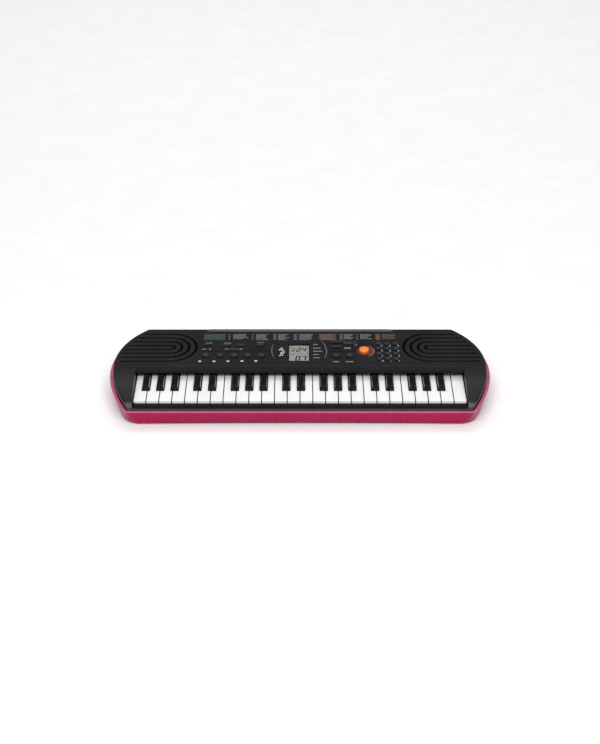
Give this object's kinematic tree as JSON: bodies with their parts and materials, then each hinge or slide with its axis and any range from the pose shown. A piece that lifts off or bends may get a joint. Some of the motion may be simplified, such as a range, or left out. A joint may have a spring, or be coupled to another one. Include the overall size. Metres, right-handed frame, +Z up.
{
  "type": "toy electronic keyboard",
  "caption": "Toy music keyboard with mini keys, bowed-end case in two halves, sunk key bed, control panel with a display and buttons, twin speaker grilles and a battery box.",
  "frame": {"origin": "middle of the case's footprint on the plane of the rubber feet", "axes": "+X along the keys to the player's right, +Y away from the player, +Z up"},
  "size_m": [0.6034, 0.2105, 0.0571],
  "materials": {
    "case_black": "fine satin grain",
    "tray_pink": "smooth semi-gloss, raspberry pink",
    "key_white": "smooth gloss",
    "key_black": "semi-gloss",
    "inner_plastic": "moulded, unpainted",
    "board_green": "solder resist",
    "silicone": "soft translucent grey",
    "lcd_grey": "reflective grey-green",
    "clear_window": "clear",
    "speaker_black": "dull paper and pressed frame",
    "foot_rubber": "matt",
    "screw_steel": "zinc plated",
    "cell_metal": "plain wrapped cell",
    "button_black": "satin",
    "button_orange": "translucent orange"
  },
  "bodies": {
    "case": {"top_case": "case_black", "bottom_case": "tray_pink", "key_hinge_rail": "inner_plastic", "circuit_boards": "board_green", "contact_rubber": "silicone", "lcd_display": "lcd_grey", "display_window": "clear_window", "speakers": "speaker_black", "rubber_feet": "foot_rubber", "case_screws": "screw_steel", "batteries": "cell_metal"},
    "white_key_01": {"white_key_01": "key_white"},
    "black_key_01": {"black_key_01": "key_black"},
    "white_key_02": {"white_key_02": "key_white"},
    "black_key_02": {"black_key_02": "key_black"},
    "white_key_03": {"white_key_03": "key_white"},
    "black_key_03": {"black_key_03": "key_black"},
    "white_key_04": {"white_key_04": "key_white"},
    "white_key_05": {"white_key_05": "key_white"},
    "black_key_04": {"black_key_04": "key_black"},
    "white_key_06": {"white_key_06": "key_white"},
    "black_key_05": {"black_key_05": "key_black"},
    "white_key_07": {"white_key_07": "key_white"},
    "white_key_08": {"white_key_08": "key_white"},
    "black_key_06": {"black_key_06": "key_black"},
    "white_key_09": {"white_key_09": "key_white"},
    "black_key_07": {"black_key_07": "key_black"},
    "white_key_10": {"white_key_10": "key_white"},
    "black_key_08": {"black_key_08": "key_black"},
    "white_key_11": {"white_key_11": "key_white"},
    "white_key_12": {"white_key_12": "key_white"},
    "black_key_09": {"black_key_09": "key_black"},
    "white_key_13": {"white_key_13": "key_white"},
    "black_key_10": {"black_key_10": "key_black"},
    "white_key_14": {"white_key_14": "key_white"},
    "white_key_15": {"white_key_15": "key_white"},
    "black_key_11": {"black_key_11": "key_black"},
    "white_key_16": {"white_key_16": "key_white"},
    "black_key_12": {"black_key_12": "key_black"},
    "white_key_17": {"white_key_17": "key_white"},
    "black_key_13": {"black_key_13": "key_black"},
    "white_key_18": {"white_key_18": "key_white"},
    "white_key_19": {"white_key_19": "key_white"},
    "black_key_14": {"black_key_14": "key_black"},
    "white_key_20": {"white_key_20": "key_white"},
    "black_key_15": {"black_key_15": "key_black"},
    "white_key_21": {"white_key_21": "key_white"},
    "white_key_22": {"white_key_22": "key_white"},
    "black_key_16": {"black_key_16": "key_black"},
    "white_key_23": {"white_key_23": "key_white"},
    "black_key_17": {"black_key_17": "key_black"},
    "white_key_24": {"white_key_24": "key_white"},
    "black_key_18": {"black_key_18": "key_black"},
    "white_key_25": {"white_key_25": "key_white"},
    "white_key_26": {"white_key_26": "key_white"},
    "battery_cover": {"battery_cover": "tray_pink"},
    "power_slider": {"power_slider": "button_black"},
    "start_stop_button": {"start_stop_button": "button_orange"},
    "number_buttons": {"number_buttons": "button_black"},
    "panel_buttons": {"panel_buttons": "button_black"}
  },
  "joints": [
    {"name": "white_key_01_press", "type": "hinge", "parent": "case", "child": "white_key_01", "pos_m": [-0.2485, 0.008, 0.02904], "axis": [1, 0, 0], "range_deg": [0, 2.2], "stiffness_Nm_per_rad": 0.4, "springref_deg": -4.58},
    {"name": "black_key_01_press", "type": "hinge", "parent": "case", "child": "black_key_01", "pos_m": [-0.24111, 0.008, 0.02904], "axis": [1, 0, 0], "range_deg": [0, 2.8], "stiffness_Nm_per_rad": 0.4, "springref_deg": -4.58},
    {"name": "white_key_02_press", "type": "hinge", "parent": "case", "child": "white_key_02", "pos_m": [-0.22862, 0.008, 0.02904], "axis": [1, 0, 0], "range_deg": [0, 2.2], "stiffness_Nm_per_rad": 0.4, "springref_deg": -4.58},
    {"name": "black_key_02_press", "type": "hinge", "parent": "case", "child": "black_key_02", "pos_m": [-0.21868, 0.008, 0.02904], "axis": [1, 0, 0], "range_deg": [0, 2.8], "stiffness_Nm_per_rad": 0.4, "springref_deg": -4.58},
    {"name": "white_key_03_press", "type": "hinge", "parent": "case", "child": "white_key_03", "pos_m": [-0.20874, 0.008, 0.02904], "axis": [1, 0, 0], "range_deg": [0, 2.2], "stiffness_Nm_per_rad": 0.4, "springref_deg": -4.58},
    {"name": "black_key_03_press", "type": "hinge", "parent": "case", "child": "black_key_03", "pos_m": [-0.19625, 0.008, 0.02904], "axis": [1, 0, 0], "range_deg": [0, 2.8], "stiffness_Nm_per_rad": 0.4, "springref_deg": -4.58},
    {"name": "white_key_04_press", "type": "hinge", "parent": "case", "child": "white_key_04", "pos_m": [-0.18886, 0.008, 0.02904], "axis": [1, 0, 0], "range_deg": [0, 2.2], "stiffness_Nm_per_rad": 0.4, "springref_deg": -4.58},
    {"name": "white_key_05_press", "type": "hinge", "parent": "case", "child": "white_key_05", "pos_m": [-0.16898, 0.008, 0.02904], "axis": [1, 0, 0], "range_deg": [0, 2.2], "stiffness_Nm_per_rad": 0.4, "springref_deg": -4.58},
    {"name": "black_key_04_press", "type": "hinge", "parent": "case", "child": "black_key_04", "pos_m": [-0.16064, 0.008, 0.02904], "axis": [1, 0, 0], "range_deg": [0, 2.8], "stiffness_Nm_per_rad": 0.4, "springref_deg": -4.58},
    {"name": "white_key_06_press", "type": "hinge", "parent": "case", "child": "white_key_06", "pos_m": [-0.1491, 0.008, 0.02904], "axis": [1, 0, 0], "range_deg": [0, 2.2], "stiffness_Nm_per_rad": 0.4, "springref_deg": -4.58},
    {"name": "black_key_05_press", "type": "hinge", "parent": "case", "child": "black_key_05", "pos_m": [-0.13756, 0.008, 0.02904], "axis": [1, 0, 0], "range_deg": [0, 2.8], "stiffness_Nm_per_rad": 0.4, "springref_deg": -4.58},
    {"name": "white_key_07_press", "type": "hinge", "parent": "case", "child": "white_key_07", "pos_m": [-0.12922, 0.008, 0.02904], "axis": [1, 0, 0], "range_deg": [0, 2.2], "stiffness_Nm_per_rad": 0.4, "springref_deg": -4.58},
    {"name": "white_key_08_press", "type": "hinge", "parent": "case", "child": "white_key_08", "pos_m": [-0.10934, 0.008, 0.02904], "axis": [1, 0, 0], "range_deg": [0, 2.2], "stiffness_Nm_per_rad": 0.4, "springref_deg": -4.58},
    {"name": "black_key_06_press", "type": "hinge", "parent": "case", "child": "black_key_06", "pos_m": [-0.10195, 0.008, 0.02904], "axis": [1, 0, 0], "range_deg": [0, 2.8], "stiffness_Nm_per_rad": 0.4, "springref_deg": -4.58},
    {"name": "white_key_09_press", "type": "hinge", "parent": "case", "child": "white_key_09", "pos_m": [-0.08946, 0.008, 0.02904], "axis": [1, 0, 0], "range_deg": [0, 2.2], "stiffness_Nm_per_rad": 0.4, "springref_deg": -4.58},
    {"name": "black_key_07_press", "type": "hinge", "parent": "case", "child": "black_key_07", "pos_m": [-0.07952, 0.008, 0.02904], "axis": [1, 0, 0], "range_deg": [0, 2.8], "stiffness_Nm_per_rad": 0.4, "springref_deg": -4.58},
    {"name": "white_key_10_press", "type": "hinge", "parent": "case", "child": "white_key_10", "pos_m": [-0.06958, 0.008, 0.02904], "axis": [1, 0, 0], "range_deg": [0, 2.2], "stiffness_Nm_per_rad": 0.4, "springref_deg": -4.58},
    {"name": "black_key_08_press", "type": "hinge", "parent": "case", "child": "black_key_08", "pos_m": [-0.05709, 0.008, 0.02904], "axis": [1, 0, 0], "range_deg": [0, 2.8], "stiffness_Nm_per_rad": 0.4, "springref_deg": -4.58},
    {"name": "white_key_11_press", "type": "hinge", "parent": "case", "child": "white_key_11", "pos_m": [-0.0497, 0.008, 0.02904], "axis": [1, 0, 0], "range_deg": [0, 2.2], "stiffness_Nm_per_rad": 0.4, "springref_deg": -4.58},
    {"name": "white_key_12_press", "type": "hinge", "parent": "case", "child": "white_key_12", "pos_m": [-0.02982, 0.008, 0.02904], "axis": [1, 0, 0], "range_deg": [0, 2.2], "stiffness_Nm_per_rad": 0.4, "springref_deg": -4.58},
    {"name": "black_key_09_press", "type": "hinge", "parent": "case", "child": "black_key_09", "pos_m": [-0.02148, 0.008, 0.02904], "axis": [1, 0, 0], "range_deg": [0, 2.8], "stiffness_Nm_per_rad": 0.4, "springref_deg": -4.58},
    {"name": "white_key_13_press", "type": "hinge", "parent": "case", "child": "white_key_13", "pos_m": [-0.00994, 0.008, 0.02904], "axis": [1, 0, 0], "range_deg": [0, 2.2], "stiffness_Nm_per_rad": 0.4, "springref_deg": -4.58},
    {"name": "black_key_10_press", "type": "hinge", "parent": "case", "child": "black_key_10", "pos_m": [0.0016, 0.008, 0.02904], "axis": [1, 0, 0], "range_deg": [0, 2.8], "stiffness_Nm_per_rad": 0.4, "springref_deg": -4.58},
    {"name": "white_key_14_press", "type": "hinge", "parent": "case", "child": "white_key_14", "pos_m": [0.00994, 0.008, 0.02904], "axis": [1, 0, 0], "range_deg": [0, 2.2], "stiffness_Nm_per_rad": 0.4, "springref_deg": -4.58},
    {"name": "white_key_15_press", "type": "hinge", "parent": "case", "child": "white_key_15", "pos_m": [0.02982, 0.008, 0.02904], "axis": [1, 0, 0], "range_deg": [0, 2.2], "stiffness_Nm_per_rad": 0.4, "springref_deg": -4.58},
    {"name": "black_key_11_press", "type": "hinge", "parent": "case", "child": "black_key_11", "pos_m": [0.03721, 0.008, 0.02904], "axis": [1, 0, 0], "range_deg": [0, 2.8], "stiffness_Nm_per_rad": 0.4, "springref_deg": -4.58},
    {"name": "white_key_16_press", "type": "hinge", "parent": "case", "child": "white_key_16", "pos_m": [0.0497, 0.008, 0.02904], "axis": [1, 0, 0], "range_deg": [0, 2.2], "stiffness_Nm_per_rad": 0.4, "springref_deg": -4.58},
    {"name": "black_key_12_press", "type": "hinge", "parent": "case", "child": "black_key_12", "pos_m": [0.05964, 0.008, 0.02904], "axis": [1, 0, 0], "range_deg": [0, 2.8], "stiffness_Nm_per_rad": 0.4, "springref_deg": -4.58},
    {"name": "white_key_17_press", "type": "hinge", "parent": "case", "child": "white_key_17", "pos_m": [0.06958, 0.008, 0.02904], "axis": [1, 0, 0], "range_deg": [0, 2.2], "stiffness_Nm_per_rad": 0.4, "springref_deg": -4.58},
    {"name": "black_key_13_press", "type": "hinge", "parent": "case", "child": "black_key_13", "pos_m": [0.08207, 0.008, 0.02904], "axis": [1, 0, 0], "range_deg": [0, 2.8], "stiffness_Nm_per_rad": 0.4, "springref_deg": -4.58},
    {"name": "white_key_18_press", "type": "hinge", "parent": "case", "child": "white_key_18", "pos_m": [0.08946, 0.008, 0.02904], "axis": [1, 0, 0], "range_deg": [0, 2.2], "stiffness_Nm_per_rad": 0.4, "springref_deg": -4.58},
    {"name": "white_key_19_press", "type": "hinge", "parent": "case", "child": "white_key_19", "pos_m": [0.10934, 0.008, 0.02904], "axis": [1, 0, 0], "range_deg": [0, 2.2], "stiffness_Nm_per_rad": 0.4, "springref_deg": -4.58},
    {"name": "black_key_14_press", "type": "hinge", "parent": "case", "child": "black_key_14", "pos_m": [0.11768, 0.008, 0.02904], "axis": [1, 0, 0], "range_deg": [0, 2.8], "stiffness_Nm_per_rad": 0.4, "springref_deg": -4.58},
    {"name": "white_key_20_press", "type": "hinge", "parent": "case", "child": "white_key_20", "pos_m": [0.12922, 0.008, 0.02904], "axis": [1, 0, 0], "range_deg": [0, 2.2], "stiffness_Nm_per_rad": 0.4, "springref_deg": -4.58},
    {"name": "black_key_15_press", "type": "hinge", "parent": "case", "child": "black_key_15", "pos_m": [0.14076, 0.008, 0.02904], "axis": [1, 0, 0], "range_deg": [0, 2.8], "stiffness_Nm_per_rad": 0.4, "springref_deg": -4.58},
    {"name": "white_key_21_press", "type": "hinge", "parent": "case", "child": "white_key_21", "pos_m": [0.1491, 0.008, 0.02904], "axis": [1, 0, 0], "range_deg": [0, 2.2], "stiffness_Nm_per_rad": 0.4, "springref_deg": -4.58},
    {"name": "white_key_22_press", "type": "hinge", "parent": "case", "child": "white_key_22", "pos_m": [0.16898, 0.008, 0.02904], "axis": [1, 0, 0], "range_deg": [0, 2.2], "stiffness_Nm_per_rad": 0.4, "springref_deg": -4.58},
    {"name": "black_key_16_press", "type": "hinge", "parent": "case", "child": "black_key_16", "pos_m": [0.17637, 0.008, 0.02904], "axis": [1, 0, 0], "range_deg": [0, 2.8], "stiffness_Nm_per_rad": 0.4, "springref_deg": -4.58},
    {"name": "white_key_23_press", "type": "hinge", "parent": "case", "child": "white_key_23", "pos_m": [0.18886, 0.008, 0.02904], "axis": [1, 0, 0], "range_deg": [0, 2.2], "stiffness_Nm_per_rad": 0.4, "springref_deg": -4.58},
    {"name": "black_key_17_press", "type": "hinge", "parent": "case", "child": "black_key_17", "pos_m": [0.1988, 0.008, 0.02904], "axis": [1, 0, 0], "range_deg": [0, 2.8], "stiffness_Nm_per_rad": 0.4, "springref_deg": -4.58},
    {"name": "white_key_24_press", "type": "hinge", "parent": "case", "child": "white_key_24", "pos_m": [0.20874, 0.008, 0.02904], "axis": [1, 0, 0], "range_deg": [0, 2.2], "stiffness_Nm_per_rad": 0.4, "springref_deg": -4.58},
    {"name": "black_key_18_press", "type": "hinge", "parent": "case", "child": "black_key_18", "pos_m": [0.22123, 0.008, 0.02904], "axis": [1, 0, 0], "range_deg": [0, 2.8], "stiffness_Nm_per_rad": 0.4, "springref_deg": -4.58},
    {"name": "white_key_25_press", "type": "hinge", "parent": "case", "child": "white_key_25", "pos_m": [0.22862, 0.008, 0.02904], "axis": [1, 0, 0], "range_deg": [0, 2.2], "stiffness_Nm_per_rad": 0.4, "springref_deg": -4.58},
    {"name": "white_key_26_press", "type": "hinge", "parent": "case", "child": "white_key_26", "pos_m": [0.2485, 0.008, 0.02904], "axis": [1, 0, 0], "range_deg": [0, 2.2], "stiffness_Nm_per_rad": 0.4, "springref_deg": -4.58},
    {"name": "start_stop_press", "type": "slide", "parent": "case", "child": "start_stop_button", "axis": [0, 0.0335, -0.9994], "range_m": [0, 0.001], "stiffness_N_per_m": 600, "springref_m": -0.0012},
    {"name": "number_buttons_press", "type": "slide", "parent": "case", "child": "number_buttons", "axis": [0, 0.0335, -0.9994], "range_m": [0, 0.001], "stiffness_N_per_m": 800, "springref_m": -0.0012},
    {"name": "panel_buttons_press", "type": "slide", "parent": "case", "child": "panel_buttons", "axis": [0, 0.0335, -0.9994], "range_m": [0, 0.001], "stiffness_N_per_m": 900, "springref_m": -0.0012},
    {"name": "power_slide", "type": "slide", "parent": "case", "child": "power_slider", "axis": [1, 0, 0], "range_m": [0, 0.005]},
    {"name": "battery_cover_off", "type": "slide", "parent": "case", "child": "battery_cover", "axis": [0, 0, -1], "range_m": [0, 0.005]}
  ]
}
